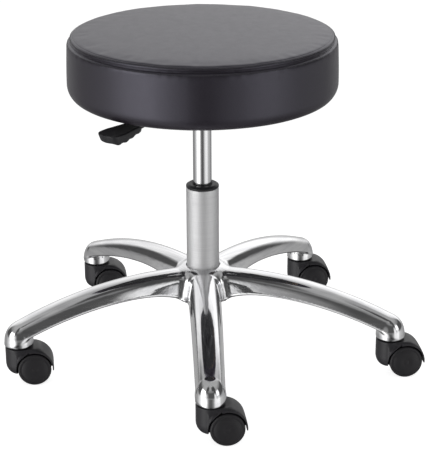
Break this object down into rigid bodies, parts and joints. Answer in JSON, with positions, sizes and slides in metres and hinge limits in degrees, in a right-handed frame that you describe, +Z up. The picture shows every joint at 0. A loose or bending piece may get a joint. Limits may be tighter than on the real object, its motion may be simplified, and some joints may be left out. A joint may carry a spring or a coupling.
{
  "type": "dentist stool",
  "caption": "Round cushioned stool on a gas lift with a release lever under the seat, on a polished five-leg base with twin-wheel casters.",
  "frame": {"origin": "on the floor at the middle of the footprint box", "axes": "+Z up along the column, +X towards the side the casters trail to, -Y towards the front leg"},
  "size_m": [0.6354, 0.5889, 0.5165],
  "materials": {
    "polished_aluminium": "polished",
    "satin_chrome": "satin",
    "chrome": "polished",
    "steel": "satin",
    "bright_steel": "polished",
    "brass": "satin",
    "black_paint": "satin",
    "black_plastic": "satin",
    "caster_nylon": "satin",
    "wheel_nylon": "satin",
    "black_rubber": "matte",
    "black_vinyl": "satin",
    "black_fabric": "matte",
    "foam": "matte",
    "plywood": "matte"
  },
  "bodies": {
    "base": {"base_casting": "polished_aluminium", "column_tube": "satin_chrome", "guide_bush": "black_plastic", "bearing_lower_race": "steel", "caster_front_stem": "steel", "caster_front_grip_ring": "bright_steel", "caster_right_stem": "steel", "caster_right_grip_ring": "bright_steel", "caster_rear_right_stem": "steel", "caster_rear_right_grip_ring": "bright_steel", "caster_rear_left_stem": "steel", "caster_rear_left_grip_ring": "bright_steel", "caster_left_stem": "steel", "caster_left_grip_ring": "bright_steel"},
    "gas_rod": {"piston_rod": "bright_steel", "piston": "black_rubber", "bearing_upper_race": "steel", "rubber_bumper": "black_rubber", "retaining_clip": "steel"},
    "bearing_cage": {"bearing_ball_cage": "bright_steel"},
    "seat": {"pressure_tube": "chrome", "rod_guide": "black_plastic", "valve_body": "brass", "seat_cover": "black_vinyl", "seat_foam": "foam", "seat_board": "plywood", "dust_cover": "black_fabric", "seat_plate": "black_paint", "lever_pivot_pin": "steel", "plate_bolt_1": "steel", "plate_bolt_2": "steel", "plate_bolt_3": "steel", "plate_bolt_4": "steel", "tee_nut_1": "steel", "tee_nut_2": "steel", "tee_nut_3": "steel", "tee_nut_4": "steel"},
    "lever": {"lever_bar": "black_paint", "lever_paddle": "black_plastic"},
    "release_pin": {"release_pin": "bright_steel"},
    "caster_front": {"caster_front_hood": "caster_nylon", "caster_front_axle": "bright_steel"},
    "caster_front_wheel_left": {"caster_front_wheel_left": "wheel_nylon"},
    "caster_front_wheel_right": {"caster_front_wheel_right": "wheel_nylon"},
    "caster_right": {"caster_right_hood": "caster_nylon", "caster_right_axle": "bright_steel"},
    "caster_right_wheel_left": {"caster_right_wheel_left": "wheel_nylon"},
    "caster_right_wheel_right": {"caster_right_wheel_right": "wheel_nylon"},
    "caster_rear_right": {"caster_rear_right_hood": "caster_nylon", "caster_rear_right_axle": "bright_steel"},
    "caster_rear_right_wheel_left": {"caster_rear_right_wheel_left": "wheel_nylon"},
    "caster_rear_right_wheel_right": {"caster_rear_right_wheel_right": "wheel_nylon"},
    "caster_rear_left": {"caster_rear_left_hood": "caster_nylon", "caster_rear_left_axle": "bright_steel"},
    "caster_rear_left_wheel_left": {"caster_rear_left_wheel_left": "wheel_nylon"},
    "caster_rear_left_wheel_right": {"caster_rear_left_wheel_right": "wheel_nylon"},
    "caster_left": {"caster_left_hood": "caster_nylon", "caster_left_axle": "bright_steel"},
    "caster_left_wheel_left": {"caster_left_wheel_left": "wheel_nylon"},
    "caster_left_wheel_right": {"caster_left_wheel_right": "wheel_nylon"}
  },
  "joints": [
    {"name": "seat_swivel", "type": "hinge", "parent": "base", "child": "gas_rod", "pos_m": [-0.0179, 0.0232, 0.08], "axis": [0, 0, 1], "continuous": true},
    {"name": "seat_height", "type": "slide", "parent": "gas_rod", "child": "seat", "axis": [0, 0, 1], "range_m": [-0.095, 0]},
    {"name": "bearing_cage_spin", "type": "hinge", "parent": "base", "child": "bearing_cage", "pos_m": [-0.0179, 0.0232, 0.08775], "axis": [0, 0, 1], "continuous": true},
    {"name": "lever_tilt", "type": "hinge", "parent": "seat", "child": "lever", "pos_m": [-0.04545, -0.0085, 0.412], "axis": [-0.7547, 0.6561, 0], "range_deg": [0, 4.5], "stiffness_Nm_per_rad": 2, "springref_deg": -2.86},
    {"name": "release_pin_press", "type": "slide", "parent": "seat", "child": "release_pin", "axis": [0, 0, -1], "range_m": [0, 0.0035]},
    {"name": "caster_front_swivel", "type": "hinge", "parent": "base", "child": "caster_front", "pos_m": [-0.00863, -0.27165, 0.058], "axis": [0, 0, 1], "continuous": true},
    {"name": "caster_front_wheel_left_spin", "type": "hinge", "parent": "caster_front", "child": "caster_front_wheel_left", "pos_m": [0.01285, -0.2694, 0.025], "axis": [-0.1045, 0.9945, 0], "continuous": true},
    {"name": "caster_front_wheel_right_spin", "type": "hinge", "parent": "caster_front", "child": "caster_front_wheel_right", "pos_m": [0.01285, -0.2694, 0.025], "axis": [-0.1045, 0.9945, 0], "continuous": true},
    {"name": "caster_right_swivel", "type": "hinge", "parent": "base", "child": "caster_right", "pos_m": [0.26539, -0.0591, 0.058], "axis": [0, 0, 1], "continuous": true},
    {"name": "caster_right_wheel_left_spin", "type": "hinge", "parent": "caster_right", "child": "caster_right_wheel_left", "pos_m": [0.28687, -0.05684, 0.025], "axis": [-0.1045, 0.9945, 0], "continuous": true},
    {"name": "caster_right_wheel_right_spin", "type": "hinge", "parent": "caster_right", "child": "caster_right_wheel_right", "pos_m": [0.28687, -0.05684, 0.025], "axis": [-0.1045, 0.9945, 0], "continuous": true},
    {"name": "caster_rear_right_swivel", "type": "hinge", "parent": "base", "child": "caster_rear_right", "pos_m": [0.14791, 0.26719, 0.058], "axis": [0, 0, 1], "continuous": true},
    {"name": "caster_rear_right_wheel_left_spin", "type": "hinge", "parent": "caster_rear_right", "child": "caster_rear_right_wheel_left", "pos_m": [0.1694, 0.26945, 0.025], "axis": [-0.1045, 0.9945, 0], "continuous": true},
    {"name": "caster_rear_right_wheel_right_spin", "type": "hinge", "parent": "caster_rear_right", "child": "caster_rear_right_wheel_right", "pos_m": [0.1694, 0.26945, 0.025], "axis": [-0.1045, 0.9945, 0], "continuous": true},
    {"name": "caster_rear_left_swivel", "type": "hinge", "parent": "base", "child": "caster_rear_left", "pos_m": [-0.19871, 0.2563, 0.058], "axis": [0, 0, 1], "continuous": true},
    {"name": "caster_rear_left_wheel_left_spin", "type": "hinge", "parent": "caster_rear_left", "child": "caster_rear_left_wheel_left", "pos_m": [-0.17723, 0.25855, 0.025], "axis": [-0.1045, 0.9945, 0], "continuous": true},
    {"name": "caster_rear_left_wheel_right_spin", "type": "hinge", "parent": "caster_rear_left", "child": "caster_rear_left_wheel_right", "pos_m": [-0.17723, 0.25855, 0.025], "axis": [-0.1045, 0.9945, 0], "continuous": true},
    {"name": "caster_left_swivel", "type": "hinge", "parent": "base", "child": "caster_left", "pos_m": [-0.29546, -0.07673, 0.058], "axis": [0, 0, 1], "continuous": true},
    {"name": "caster_left_wheel_left_spin", "type": "hinge", "parent": "caster_left", "child": "caster_left_wheel_left", "pos_m": [-0.27398, -0.07447, 0.025], "axis": [-0.1045, 0.9945, 0], "continuous": true},
    {"name": "caster_left_wheel_right_spin", "type": "hinge", "parent": "caster_left", "child": "caster_left_wheel_right", "pos_m": [-0.27398, -0.07447, 0.025], "axis": [-0.1045, 0.9945, 0], "continuous": true}
  ],
  "couplings": [
    {"joint": "bearing_cage_spin", "follows": "seat_swivel", "ratio": 0.5},
    {"joint": "release_pin_press", "follows": "lever_tilt", "m_per_rad": 0.042}
  ]
}
